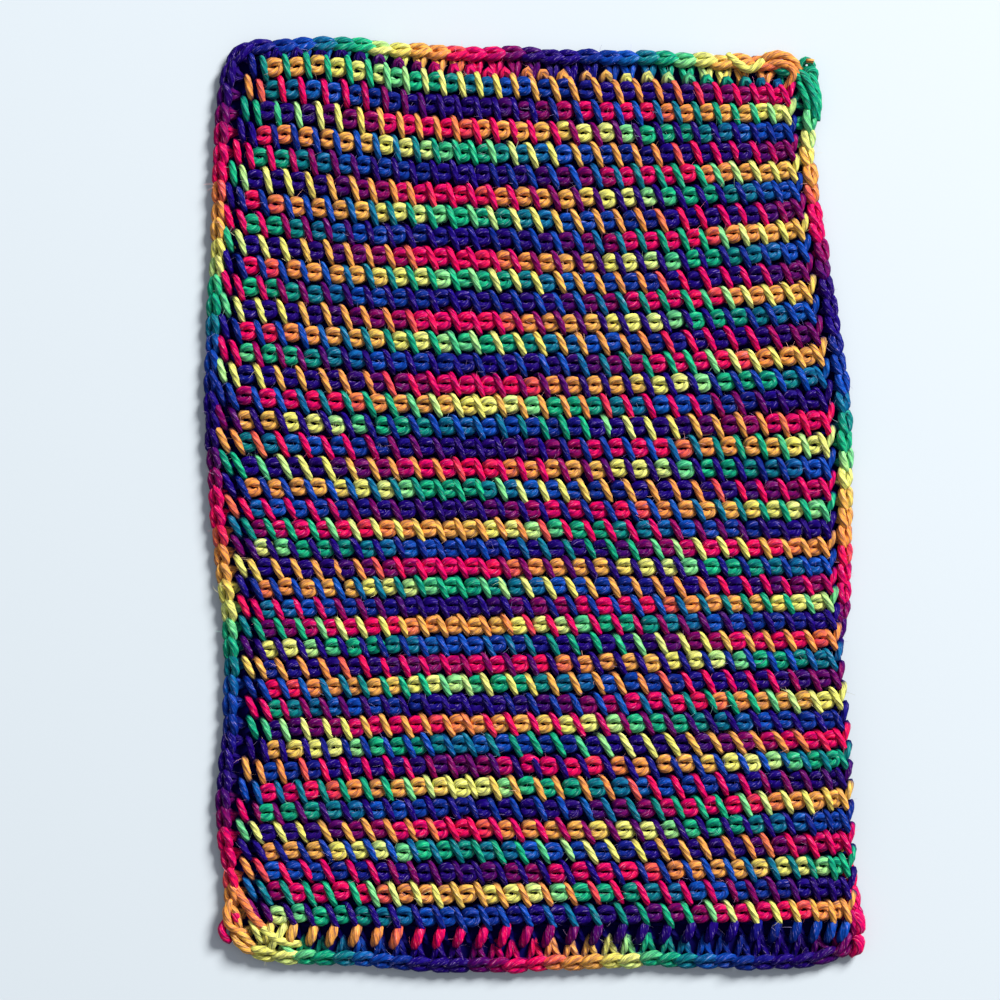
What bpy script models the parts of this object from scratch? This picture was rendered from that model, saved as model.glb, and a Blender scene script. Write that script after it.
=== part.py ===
"""Crochet mat: a Tunisian simple stitch panel with a single-crochet edging worked round it.

Metres, +Z up. The mat lies flat on z = 0. +Y runs along its length, from the foundation chain to the
last row, and +X runs across it. The origin is under the middle of the outline.
"""
import math

import bmesh
import bpy
from mathutils import Matrix, Vector

MM = 0.001

# Driving dimensions of the fabric
STITCH_ROWS = 41
PANEL_CREST = 5.2 * MM
PANEL_VALLEY = 3.7 * MM
PANEL_COLUMNS = 14
EDGING_STITCHES = 150
EDGING_HEIGHT = 4.7 * MM
PIECE_GAP = 0.45 * MM

# The edges of the panel, in rows: the foundation chain's outer side and the top of the last row
FOUNDATION_SIDE = -0.3
LAST_SIDE = 41.5
CORNER_ROWS = 1.1
CORNER_SHARE = 0.035

# Heights across a row, as shares of its width
ACROSS = (0.0, 1 / 6, 1 / 3, 2 / 3, 1.0)

# One section for each measured row, all lengths in millimetres from the mat's middle.
# left and right are the two ends of the row, y_0 to y_4 its place at the five shares in ACROSS,
# edging is the width of the edging beside the row's right end, and tuck says how far it has slipped
# under the panel there, from 0 for lying beside it to 1 for lying under it.
SECTION_COLUMNS = ("row", "left", "right", "y_0", "y_1", "y_2", "y_3", "y_4", "edging", "tuck")
SECTIONS = (
    (1, -91.8, 100.0, -130.4, -131.0, -131.7, -130.4, -129.4, 5.4, 0.0),
    (3, -93.2, 100.4, -117.0, -117.0, -117.3, -117.0, -115.0, 2.6, 0.35),
    (6, -95.0, 99.6, -98.7, -97.8, -96.8, -97.1, -93.6, 1.6, 1.0),
    (10, -93.2, 99.2, -72.2, -71.2, -70.2, -69.9, -68.6, 1.6, 1.0),
    (14, -92.5, 98.4, -46.6, -45.6, -45.0, -44.3, -43.0, 3.0, 0.6),
    (18, -94.9, 97.1, -20.6, -20.6, -20.3, -20.3, -19.7, 5.2, 0.0),
    (22, -97.4, 97.1, 5.0, 4.8, 4.6, 4.3, 4.6, 5.2, 0.0),
    (26, -98.7, 96.5, 34.4, 32.5, 31.5, 31.2, 33.4, 5.2, 0.0),
    (30, -97.8, 92.6, 62.6, 60.3, 58.4, 57.8, 61.0, 5.0, 0.0),
    (34, -96.6, 88.2, 90.4, 86.9, 85.3, 83.4, 87.2, 5.2, 0.0),
    (38, -95.4, 83.4, 118.2, 116.0, 112.8, 111.2, 112.5, 6.8, 0.0),
    (41, -93.4, 82.4, 138.7, 139.0, 134.6, 131.7, 130.1, 9.0, 0.0),
)

# Width of the edging along the two ends of the panel, at shares of the way from left to right
END_COLUMNS = ("share", "last_row", "foundation")
ENDS = (
    (0.0, 5.6, 7.6),
    (0.2, 6.6, 7.8),
    (0.4, 9.2, 9.2),
    (0.7, 9.8, 9.2),
    (0.9, 9.8, 10.2),
    (1.0, 9.4, 9.6),
)
EDGING_LEFT = 6.3

# Ribs of the panel: for each row, where across the row a line of points lies and how high it is
RIB_LINES = ((-0.5, 0.0), (-0.22, 1.0), (0.22, 1.0))

# Rim of the panel, from its upper edge down to the flat underside: inset and height of each line
# where the edging lies beside it, and where the edging lies under it
RIM = (
    # inset, height, tucked inset, tucked height
    (0.0, 2.6, -0.2, 5.0),
    (0.4, 1.1, 0.5, 3.5),
    (0.7, 0.5, 10.2, 3.3),
    (1.3, 0.0, 11.4, 0.0),
)
RIM_TOP_INSET = 0.8
TUCK_RISE = 1.9

# Section of the edging, clockwise from its inner foot: place across its width and share of its height
# for a loop's crest and for the dip between two loops
EDGING_SECTION = (
    # across, crest, dip
    (0.06, 0.00, 0.00),
    (0.00, 0.40, 0.40),
    (0.08, 0.80, 0.72),
    (0.34, 0.86, 0.74),
    (0.58, 0.76, 0.70),
    (0.80, 1.00, 0.86),
    (1.00, 0.52, 0.50),
    (0.93, 0.00, 0.00),
)
WIDEST = 6
EDGING_SCALLOP = 0.5 * MM
TUCKED_HEIGHT = 2.6
TUCKED_INNER = -9.2
TUCKED_OUTER = -1.4

COLLECTION = "crochet_mat"


def column(table, names, name):
    """All values of one named column."""
    at = names.index(name)
    return [row[at] for row in table]


def smooth_value(places, values, at):
    """Cubic curve through the values, straight beyond the first and the last."""
    last = len(places) - 1
    slopes = []
    for i in range(last + 1):
        low = max(i - 1, 0)
        high = min(i + 1, last)
        slopes.append((values[high] - values[low]) / (places[high] - places[low]))
    if at <= places[0]:
        return values[0] + slopes[0] * (at - places[0])
    if at >= places[last]:
        return values[last] + slopes[last] * (at - places[last])
    i = max(k for k in range(last) if places[k] <= at)
    span = places[i + 1] - places[i]
    t = (at - places[i]) / span
    rise = values[i + 1] - values[i]
    bend_a = slopes[i] * span - rise
    bend_b = rise - slopes[i + 1] * span
    return values[i] + rise * t + t * (1 - t) * ((1 - t) * bend_a + t * bend_b)


def section_value(name, row):
    """One column of the section table at any row, in millimetres."""
    return smooth_value(column(SECTIONS, SECTION_COLUMNS, "row"),
                        column(SECTIONS, SECTION_COLUMNS, name), row)


def fabric_place(share, row):
    """Point of the panel at a share of the way across and at a row, seen from above."""
    left = section_value("left", row)
    right = section_value("right", row)
    heights = [section_value("y_%d" % k, row) for k in range(len(ACROSS))]
    return Vector((left + (right - left) * share, smooth_value(ACROSS, heights, share))) * MM


def corner_inset(row):
    """Share of the width by which a row is shortened at the panel's rounded corners."""
    depth = min(row - FOUNDATION_SIDE, LAST_SIDE - row) / CORNER_ROWS
    if depth >= 1.0:
        return 0.0
    return CORNER_SHARE * (1.0 - math.sqrt(1.0 - (1.0 - depth) ** 2))


def rim_path(steps_along, steps_across):
    """Closed path round the panel as (side, share, row), anticlockwise from the foundation's left."""
    path = []
    rows = [FOUNDATION_SIDE + (LAST_SIDE - FOUNDATION_SIDE) * k / steps_along
            for k in range(steps_along + 1)]
    start = corner_inset(FOUNDATION_SIDE)
    for k in range(steps_across):
        path.append(("foundation", start + (1 - 2 * start) * k / steps_across, FOUNDATION_SIDE))
    for row in rows[:-1]:
        path.append(("right", 1.0 - corner_inset(row), row))
    for k in range(steps_across):
        path.append(("last_row", 1 - start - (1 - 2 * start) * k / steps_across, LAST_SIDE))
    for row in reversed(rows[1:]):
        path.append(("left", corner_inset(row), row))
    return path


def tuck_at(side, row):
    """How far the edging has slipped under the panel, from 0 to 1."""
    if side != "right":
        return 0.0
    return min(max(section_value("tuck", row), 0.0), 1.0)


def edging_width(side, share, row):
    """Width of the edging beside a place on the rim, in metres."""
    if side == "left":
        return EDGING_LEFT * MM
    if side == "right":
        return section_value("edging", row) * MM
    return smooth_value(column(ENDS, END_COLUMNS, "share"), column(ENDS, END_COLUMNS, side), share) * MM


def outward_normals(points):
    """Unit normals of a closed anticlockwise path, smoothed over the neighbouring points."""
    count = len(points)
    normals = []
    for k in range(count):
        along = points[(k + 1) % count] - points[k - 1]
        normals.append(Vector((along.y, -along.x)).normalized())
    smooth = []
    for k in range(count):
        total = normals[k - 1] + 2 * normals[k] + normals[(k + 1) % count]
        smooth.append(total.normalized())
    return smooth


def even_stations(points, values, count):
    """The path's points and values at an even spacing along its length."""
    reach = [0.0]
    for k in range(len(points)):
        step = (points[(k + 1) % len(points)] - points[k]).length
        reach.append(reach[-1] + step)
    stations = []
    k = 0
    for n in range(count):
        target = reach[-1] * n / count
        while reach[k + 1] < target:
            k += 1
        part = (target - reach[k]) / (reach[k + 1] - reach[k])
        after = (k + 1) % len(points)
        point = points[k].lerp(points[after], part)
        value = [a + (b - a) * part for a, b in zip(values[k], values[after])]
        stations.append((point, value))
    return stations


def blurred(values, reach, passes):
    """A closed list of value lists, evened out along the path."""
    for _ in range(passes):
        count = len(values)
        values = [[(values[k - reach][c] + 2 * values[k][c] + values[(k + reach) % count][c]) / 4
                   for c in range(len(values[k]))] for k in range(count)]
    return values


def edging_stations():
    """Stations round the panel: rim point, outward normal, edging width and tuck."""
    path = rim_path(steps_along=246, steps_across=112)
    points = [fabric_place(share, row) for _, share, row in path]
    values = [[edging_width(side, share, row), tuck_at(side, row)] for side, share, row in path]
    values = blurred(values, reach=2, passes=6)
    stations = even_stations(points, values, 2 * EDGING_STITCHES)
    normals = outward_normals([point for point, _ in stations])
    return [(point, normal, width, tuck)
            for (point, (width, tuck)), normal in zip(stations, normals)]


def two_phases(tuck):
    """The edging first flattens and then slides under: both shares, each from 0 to 1."""
    flatten = min(tuck / 0.35, 1.0)
    slide = min(max((tuck - 0.35) / 0.65, 0.0), 1.0)
    return flatten, slide


def mix(a, b, share):
    """Value between two, by a share."""
    return a + (b - a) * share


def outline_shift():
    """Move that brings the middle of the edging's outline over the origin."""
    outer = []
    for k, (point, normal, width, tuck) in enumerate(edging_stations()):
        outer.append(edging_point(point, normal, width, tuck, k, EDGING_SECTION[WIDEST]))
    low_x = min(p.x for p in outer)
    high_x = max(p.x for p in outer)
    low_y = min(p.y for p in outer)
    high_y = max(p.y for p in outer)
    return Vector((-(low_x + high_x) / 2, -(low_y + high_y) / 2, 0.0))


def edging_point(point, normal, width, tuck, station, section):
    """One point of the edging's section at a station."""
    across, crest, dip = section
    flatten, slide = two_phases(tuck)
    is_crest = station % 2 == 0
    inner = mix(PIECE_GAP, TUCKED_INNER * MM, slide)
    outer = mix(width, TUCKED_OUTER * MM, slide)
    if across > 0.9:
        outer += EDGING_SCALLOP * (0.5 if is_crest else -0.5)
    height = mix(EDGING_HEIGHT, TUCKED_HEIGHT * MM, flatten)
    share = crest if is_crest else dip
    place = point + normal * mix(inner, outer, across)
    return Vector((place.x, place.y, height * share))


def fabric_material(name, colour, roughness):
    """Yarn material with a Principled shader."""
    material = bpy.data.materials.new(name)
    material.use_nodes = True
    shader = material.node_tree.nodes["Principled BSDF"]
    shader.inputs["Base Color"].default_value = colour
    shader.inputs["Roughness"].default_value = roughness
    shader.inputs["Metallic"].default_value = 0.0
    material.diffuse_color = colour
    return material


def finish_piece(piece, material, collection, shift):
    """Put a modelled piece into the mat's collection, over the origin, with its material."""
    for owner in list(piece.users_collection):
        owner.objects.unlink(piece)
    collection.objects.link(piece)
    piece.data.transform(Matrix.Translation(shift))
    piece.data.materials.clear()
    piece.data.materials.append(material)
    piece.data.shade_smooth()
    piece.data.set_sharp_from_angle(angle=math.radians(50))


def rib_rows():
    """Lines of points along the panel: the row they lie at and their share of the rib's height."""
    lines = [(FOUNDATION_SIDE, 0.6), (0.1, 0.9)]
    for row in range(1, STITCH_ROWS + 1):
        for offset, rise in RIB_LINES:
            lines.append((row + offset, rise))
    lines.append((LAST_SIDE, 0.3))
    return lines


def rim_rise(share, row):
    """Extra height of the panel near its right edge, where the edging lies under it."""
    reach = min(max((share - 0.86) / 0.12, 0.0), 1.0)
    return TUCK_RISE * MM * tuck_at("right", row) * reach * reach * (3 - 2 * reach)


def make_panel(material, collection, shift):
    """The stitched panel: one thick cloth, ribbed by its rows, flat underneath."""
    lines = rib_rows()
    bpy.ops.mesh.primitive_grid_add(x_subdivisions=PANEL_COLUMNS, y_subdivisions=len(lines) - 1, size=2)
    panel = bpy.context.object
    panel.name = "stitch_field"
    bm = bmesh.new()
    bm.from_mesh(panel.data)
    place_on_fabric(bm, lines)
    add_rim(bm)
    bmesh.ops.recalc_face_normals(bm, faces=bm.faces)
    bm.to_mesh(panel.data)
    bm.free()
    finish_piece(panel, material, collection, shift)
    return panel


def place_on_fabric(bm, lines):
    """Move the grid's points onto the fabric and number those of its border."""
    station = bm.verts.layers.int.new("station")
    columns = PANEL_COLUMNS
    last = len(lines) - 1
    for vert in bm.verts:
        i = round((vert.co.x + 1) / 2 * columns)
        j = round((vert.co.y + 1) / 2 * last)
        row, rise = lines[j]
        inset = corner_inset(row)
        share = inset + (1 - 2 * inset) * i / columns
        flat = fabric_place(share, row)
        height = mix(PANEL_VALLEY, PANEL_CREST, rise) + rim_rise(share, row)
        vert.co = Vector((flat.x, flat.y, height))
        vert[station] = border_station(i, j, columns, last)


def border_station(i, j, columns, last):
    """Number of a border point, anticlockwise from the foundation's left end, or -1 inside."""
    if j == 0:
        return i
    if i == columns:
        return columns + j
    if j == last:
        return columns + last + (columns - i)
    if i == 0:
        return 2 * columns + last + (last - j)
    return -1


def add_rim(bm):
    """Round the border over, down to the underside, and close the underside with one flat face."""
    station = bm.verts.layers.int["station"]
    border = sorted((v for v in bm.verts if v[station] >= 0), key=lambda v: v[station])
    count = len(border)
    path = [v.co.copy() for v in border]
    normals = outward_normals([p.xy for p in path])
    tucks = [0.0] * count
    lines = rib_rows()
    for j, (row, _) in enumerate(lines):
        tucks[(PANEL_COLUMNS + j) % count] = tuck_at("right", row)
    tucks = [value[0] for value in blurred([[t] for t in tucks], reach=1, passes=2)]
    for vert in border:
        k = vert[station]
        vert.co.xy = path[k].xy - normals[k] * RIM_TOP_INSET * MM
        vert.co.z -= 0.5 * MM
    edges = [e for e in bm.edges if e.is_boundary]
    for inset, height, tucked_inset, tucked_height in RIM:
        made = bmesh.ops.extrude_edge_only(bm, edges=edges)["geom"]
        edges = [g for g in made if isinstance(g, bmesh.types.BMEdge)]
        for vert in (g for g in made if isinstance(g, bmesh.types.BMVert)):
            k = vert[station]
            flatten, slide = two_phases(tucks[k])
            ahead = min(slide * 1.15 + flatten * 0.04, 1.0)
            flat = path[k].xy - normals[k] * mix(inset, tucked_inset, ahead) * MM
            vert.co = Vector((flat.x, flat.y, mix(height, tucked_height, min(flatten * 1.6, 1.0)) * MM))
    bmesh.ops.contextual_create(bm, geom=edges)


def make_edging(material, collection, shift):
    """The edging: a closed ring of upright loops, thinner where it has slipped under the panel."""
    stations = edging_stations()
    bpy.ops.mesh.primitive_circle_add(vertices=len(stations))
    edging = bpy.context.object
    edging.name = "crochet_edging"
    bm = bmesh.new()
    bm.from_mesh(edging.data)
    number = bm.verts.layers.int.new("station")
    bm.verts.ensure_lookup_table()
    for k, vert in enumerate(bm.verts):
        vert[number] = k
    ring = list(bm.verts)
    edges = list(bm.edges)
    first_edges = edges
    for n, section in enumerate(EDGING_SECTION):
        if n > 0:
            made = bmesh.ops.extrude_edge_only(bm, edges=edges)["geom"]
            ring = [g for g in made if isinstance(g, bmesh.types.BMVert)]
            edges = [g for g in made if isinstance(g, bmesh.types.BMEdge)]
        for vert in ring:
            point, normal, width, tuck = stations[vert[number]]
            vert.co = edging_point(point, normal, width, tuck, vert[number], section)
    bmesh.ops.bridge_loops(bm, edges=first_edges + edges)
    bmesh.ops.recalc_face_normals(bm, faces=bm.faces)
    bm.to_mesh(edging.data)
    bm.free()
    finish_piece(edging, material, collection, shift)
    return edging


def main():
    for thing in list(bpy.data.objects):
        bpy.data.objects.remove(thing, do_unlink=True)
    collection = bpy.data.collections.new(COLLECTION)
    bpy.context.scene.collection.children.link(collection)
    shift = outline_shift()
    panel_yarn = fabric_material("striped_panel_yarn", (0.20, 0.06, 0.16, 1.0), 0.85)
    edging_yarn = fabric_material("striped_edging_yarn", (0.24, 0.10, 0.18, 1.0), 0.85)
    make_panel(panel_yarn, collection, shift)
    make_edging(edging_yarn, collection, shift)


main()
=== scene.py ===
# %% [markdown]
# # A crochet mat, stitch by stitch
# The mat is a Tunisian simple stitch panel with a round of single crochet worked about it, in one space-dyed
# yarn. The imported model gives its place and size. It is loaded first and never moved: everything below is
# built round it. The yarn itself is what the eye sees, so its path is laid here from loop to loop in the
# order of work, and its colour follows from how far along the skein each point lies.

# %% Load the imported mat
import math

import bmesh
import bpy
import numpy as np
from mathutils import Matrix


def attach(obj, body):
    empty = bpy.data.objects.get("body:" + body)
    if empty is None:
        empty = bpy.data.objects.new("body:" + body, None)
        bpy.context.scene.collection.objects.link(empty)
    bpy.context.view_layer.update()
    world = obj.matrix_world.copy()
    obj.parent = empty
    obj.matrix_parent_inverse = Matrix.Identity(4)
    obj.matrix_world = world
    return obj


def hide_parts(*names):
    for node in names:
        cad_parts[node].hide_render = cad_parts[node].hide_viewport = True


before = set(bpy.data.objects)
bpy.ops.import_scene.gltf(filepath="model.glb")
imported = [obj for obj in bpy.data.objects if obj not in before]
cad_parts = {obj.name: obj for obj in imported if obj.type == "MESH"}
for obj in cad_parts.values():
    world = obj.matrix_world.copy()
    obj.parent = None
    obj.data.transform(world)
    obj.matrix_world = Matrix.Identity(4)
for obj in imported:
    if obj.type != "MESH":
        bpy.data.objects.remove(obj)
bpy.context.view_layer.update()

BODY = "root"
MM = 0.001
rng = np.random.default_rng(41)

# %% [markdown]
# ## The camera
# The photograph looks straight down. A camera needs only its height and the width of floor that it takes in,
# and the lens follows from the two. The photograph's middle isn't the mat's middle, so the camera stands a
# little to the side of it.

# %% Camera straight above
PHOTO_SIDE = 1000
MM_PER_PIXEL = 0.32
MIDDLE_PIXEL = (532.5, 503.5)
CAMERA_HEIGHT = 900.0
SENSOR_WIDTH = 36.0


def from_photo(pixel_x, pixel_y):
    """Place on the mat, in millimetres before the outline is centred, of a point of the photograph."""
    return ((pixel_x - MIDDLE_PIXEL[0]) * MM_PER_PIXEL, (MIDDLE_PIXEL[1] - pixel_y) * MM_PER_PIXEL)


# %% [markdown]
# ## The fabric under the stitches
# The mat isn't a true rectangle: its rows sag and its sides wander. A short table of measured rows, the same
# one that the solids were made from, gives both. A cubic curve runs through the table, so any stitch can ask
# where it lies. numpy works on thousands of points in one call, which matters here.

# %% Sections of the panel
STITCH_ROWS = 41
BARS = 28
FOUNDATION_SIDE = -0.3
LAST_SIDE = 41.5
CORNER_ROWS = 1.1
CORNER_SHARE = 0.035
ACROSS = (0.0, 1 / 6, 1 / 3, 2 / 3, 1.0)
SECTION_COLUMNS = ("row", "left", "right", "y_0", "y_1", "y_2", "y_3", "y_4", "edging", "tuck")
SECTIONS = np.array((
    (1, -91.8, 100.0, -130.4, -131.0, -131.7, -130.4, -129.4, 5.4, 0.0),
    (3, -93.2, 100.4, -117.0, -117.0, -117.3, -117.0, -115.0, 2.6, 0.35),
    (6, -95.0, 99.6, -98.7, -97.8, -96.8, -97.1, -93.6, 1.6, 1.0),
    (10, -93.2, 99.2, -72.2, -71.2, -70.2, -69.9, -68.6, 1.6, 1.0),
    (14, -92.5, 98.4, -46.6, -45.6, -45.0, -44.3, -43.0, 3.0, 0.6),
    (18, -94.9, 97.1, -20.6, -20.6, -20.3, -20.3, -19.7, 5.2, 0.0),
    (22, -97.4, 97.1, 5.0, 4.8, 4.6, 4.3, 4.6, 5.2, 0.0),
    (26, -98.7, 96.5, 34.4, 32.5, 31.5, 31.2, 33.4, 5.2, 0.0),
    (30, -97.8, 92.6, 62.6, 60.3, 58.4, 57.8, 61.0, 5.0, 0.0),
    (34, -96.6, 88.2, 90.4, 86.9, 85.3, 83.4, 87.2, 5.2, 0.0),
    (38, -95.4, 83.4, 118.2, 116.0, 112.8, 111.2, 112.5, 6.8, 0.0),
    (41, -93.4, 82.4, 138.7, 139.0, 134.6, 131.7, 130.1, 9.0, 0.0),
))
TUCK_RISE = 1.9


def smooth_value(places, values, at):
    """Cubic curve through the values, straight beyond the first and the last."""
    places = np.asarray(places, float)
    at = np.asarray(at, float)
    values = np.asarray(values, float)
    if values.ndim == 1:
        values = np.repeat(values[:, None], at.size, axis=1)
    last = len(places) - 1
    low = np.maximum(np.arange(last + 1) - 1, 0)
    high = np.minimum(np.arange(last + 1) + 1, last)
    slopes = (values[high] - values[low]) / (places[high] - places[low])[:, None]
    i = np.clip(np.searchsorted(places, at, side="right") - 1, 0, last - 1)
    each = np.arange(at.size)
    span = places[i + 1] - places[i]
    t = np.clip((at - places[i]) / span, 0.0, 1.0)
    rise = values[i + 1, each] - values[i, each]
    bend_a = slopes[i, each] * span - rise
    bend_b = rise - slopes[i + 1, each] * span
    inside = values[i, each] + rise * t + t * (1 - t) * ((1 - t) * bend_a + t * bend_b)
    before = np.minimum(at - places[0], 0.0) * slopes[0, each]
    after = np.maximum(at - places[-1], 0.0) * slopes[-1, each]
    return inside + before + after


def section_value(name, row):
    """One column of the section table at any rows, in millimetres."""
    return smooth_value(SECTIONS[:, 0], SECTIONS[:, SECTION_COLUMNS.index(name)], row)


def fabric_place(share, row):
    """Points of the panel at shares of the way across and at rows, in millimetres."""
    left = section_value("left", row)
    right = section_value("right", row)
    heights = np.array([section_value("y_%d" % k, row) for k in range(len(ACROSS))])
    return np.stack([left + (right - left) * share, smooth_value(ACROSS, heights, share)], axis=1)


print("row 20 runs from x = %.1f to %.1f mm" % (section_value("left", [20.0])[0],
                                                section_value("right", [20.0])[0]))

# %% [markdown]
# ## The rim
# The edging follows the panel's rim. The rim is walked once, anticlockwise, and its points, the directions
# that point away from the panel, the edging's width and how far it has slipped under the panel are kept. Any
# stitch of the edging then reads them by its place along the walk.

# %% Walk round the rim
EDGING_STITCHES = 150
EDGING_LEFT = 6.3
# Where the edging has slipped under the panel, its outer side lies inside the rim by this much
TUCKED_OUTER = -1.4
SLIDE_FROM = 0.35
# Share of the way across, and the edging's width above the last row and below the foundation
ENDS = np.array((
    (0.0, 5.6, 7.6),
    (0.2, 6.6, 7.8),
    (0.4, 9.2, 9.2),
    (0.7, 9.8, 9.2),
    (0.9, 9.8, 10.2),
    (1.0, 9.4, 9.6),
))
STEPS_ALONG = 246
STEPS_ACROSS = 112
WIDTH_ROUNDS = 6
NORMAL_ROUNDS = 4


def slid_under(tuck):
    """Share by which the edging has slid under the panel, where tuck says how far it has slipped."""
    return np.clip((tuck - SLIDE_FROM) / (1 - SLIDE_FROM), 0.0, 1.0)


def corner_inset(row):
    """Share of the width by which a row is shortened at the panel's rounded corners."""
    depth = np.minimum((np.minimum(row - FOUNDATION_SIDE, LAST_SIDE - row)) / CORNER_ROWS, 1.0)
    return CORNER_SHARE * (1.0 - np.sqrt(1.0 - (1.0 - depth) ** 2))


def rim_walk():
    """Closed walk round the panel: share, row, edging width, tuck, and where its top right corner is."""
    rows = np.linspace(FOUNDATION_SIDE, LAST_SIDE, STEPS_ALONG + 1)
    inset = CORNER_SHARE
    part = np.arange(STEPS_ACROSS) / STEPS_ACROSS
    insets = corner_inset(rows)
    share = np.concatenate([inset + (1 - 2 * inset) * part, 1 - insets[:-1],
                            1 - inset - (1 - 2 * inset) * part, insets[:0:-1]])
    row = np.concatenate([np.full(STEPS_ACROSS, FOUNDATION_SIDE), rows[:-1],
                          np.full(STEPS_ACROSS, LAST_SIDE), rows[:0:-1]])
    right = slice(STEPS_ACROSS, STEPS_ACROSS + STEPS_ALONG)
    top = slice(right.stop, right.stop + STEPS_ACROSS)
    width = np.full(len(row), EDGING_LEFT)
    width[:STEPS_ACROSS] = smooth_value(ENDS[:, 0], ENDS[:, 2], share[:STEPS_ACROSS])
    width[right] = section_value("edging", row[right])
    width[top] = smooth_value(ENDS[:, 0], ENDS[:, 1], share[top])
    tuck = np.zeros(len(row))
    tuck[right] = np.clip(section_value("tuck", row[right]), 0.0, 1.0)
    for _ in range(WIDTH_ROUNDS):
        width = (np.roll(width, 2) + 2 * width + np.roll(width, -2)) / 4
        tuck = (np.roll(tuck, 2) + 2 * tuck + np.roll(tuck, -2)) / 4
    return share, row, width, tuck, top.start


def rim_stations():
    """Rim points, their outward directions, width, tuck and the length walked, from the top right corner."""
    share, row, width, tuck, corner = rim_walk()
    points = np.roll(fabric_place(share, row), -corner, axis=0)
    width = np.roll(width, -corner)
    tuck = np.roll(tuck, -corner)
    along = np.roll(points, -1, axis=0) - np.roll(points, 1, axis=0)
    normals = np.stack([along[:, 1], -along[:, 0]], axis=1)
    for _ in range(NORMAL_ROUNDS):
        normals /= np.linalg.norm(normals, axis=1)[:, None]
        normals = np.roll(normals, 2, axis=0) + 2 * normals + np.roll(normals, -2, axis=0)
    normals /= np.linalg.norm(normals, axis=1)[:, None]
    steps = np.linalg.norm(np.roll(points, -1, axis=0) - points, axis=1)
    return points, normals, width, tuck, np.concatenate([[0.0], np.cumsum(steps)])


rim_points, rim_normals, rim_width, rim_tuck, rim_reach = rim_stations()
slide = slid_under(rim_tuck)[:, None]
outer_edge = rim_points + rim_normals * (rim_width[:, None] * (1 - slide) + TUCKED_OUTER * slide)
SHIFT = -(outer_edge.min(axis=0) + outer_edge.max(axis=0)) / 2
print("rim %.0f mm long, outline moved by %.2f, %.2f mm" % (rim_reach[-1], *SHIFT))

# %% [markdown]
# The outline's middle is over the origin, as in the solids, and that move is now known. The camera can take
# its place: it looks down on the point that was in the middle of the photograph.

# %% Place the camera
camera_x, camera_y = from_photo(PHOTO_SIDE / 2, PHOTO_SIDE / 2)
bpy.ops.object.camera_add(location=((camera_x + SHIFT[0]) * MM, (camera_y + SHIFT[1]) * MM,
                                    CAMERA_HEIGHT * MM))
camera = bpy.context.object
camera.name = "camera_above"
camera.data.sensor_width = SENSOR_WIDTH
camera.data.lens = SENSOR_WIDTH * CAMERA_HEIGHT / (PHOTO_SIDE * MM_PER_PIXEL)
bpy.context.scene.camera = camera
print("camera lens %.1f mm" % camera.data.lens)

# %% [markdown]
# ## The dye
# The yarn was dipped so that seven colours follow one another along the skein and start again, after about
# 0.9 metres of the path that is laid here. The phase counts those repeats: its whole part is the repeat, and
# its fraction is the colour. A row of return links takes nearly one repeat and the row of bars after it a
# little less. That is why the stripes drift sideways from row to row. The table gives the phase of a row's
# links, near their ninth stitch, at a few rows counted from the top. Row 0 is the chain above the last row.
# The phase of the bars is set back by a small lag, and those of the last row end at a value of their own.

# %% Phase of the dye along the rows
PHASE_PER_LINK = 0.0316
READ_STITCH = 9.5
PHASE_ROWS = (0, 1, 4, 13, 15, 19, 24, 41)
PHASE_DRIFT = (-0.05, 0.42, 1.33, 4.30, 4.93, 5.98, 7.97, 14.58)
BAR_LAG = 0.035
TOP_BARS_END = -0.54


def link_phase(row, across):
    """Phase of the return links in a row, counted from the foundation, at a place across it."""
    down = STITCH_ROWS + 1 - np.asarray(row, float)
    first_slope = (PHASE_DRIFT[1] - PHASE_DRIFT[0]) / (PHASE_ROWS[1] - PHASE_ROWS[0])
    last_slope = (PHASE_DRIFT[-1] - PHASE_DRIFT[-2]) / (PHASE_ROWS[-1] - PHASE_ROWS[-2])
    drift = np.interp(down, PHASE_ROWS, PHASE_DRIFT)
    drift += np.minimum(down - PHASE_ROWS[0], 0) * first_slope
    drift += np.maximum(down - PHASE_ROWS[-1], 0) * last_slope
    return drift - 2 * down + PHASE_PER_LINK * (across - READ_STITCH)


def bar_phase(row, across):
    """Phase of the bars that cross a row: they are worked after its links, from right to left."""
    start = link_phase(row, BARS - 0.5)
    end = TOP_BARS_END if row == STITCH_ROWS else link_phase(row + 1, -0.5)
    return start - BAR_LAG + (end - start) * (BARS - 0.5 - across) / BARS


print("repeats in the panel: %.1f" % (link_phase(41, 27) - link_phase(1, 0)))
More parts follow.
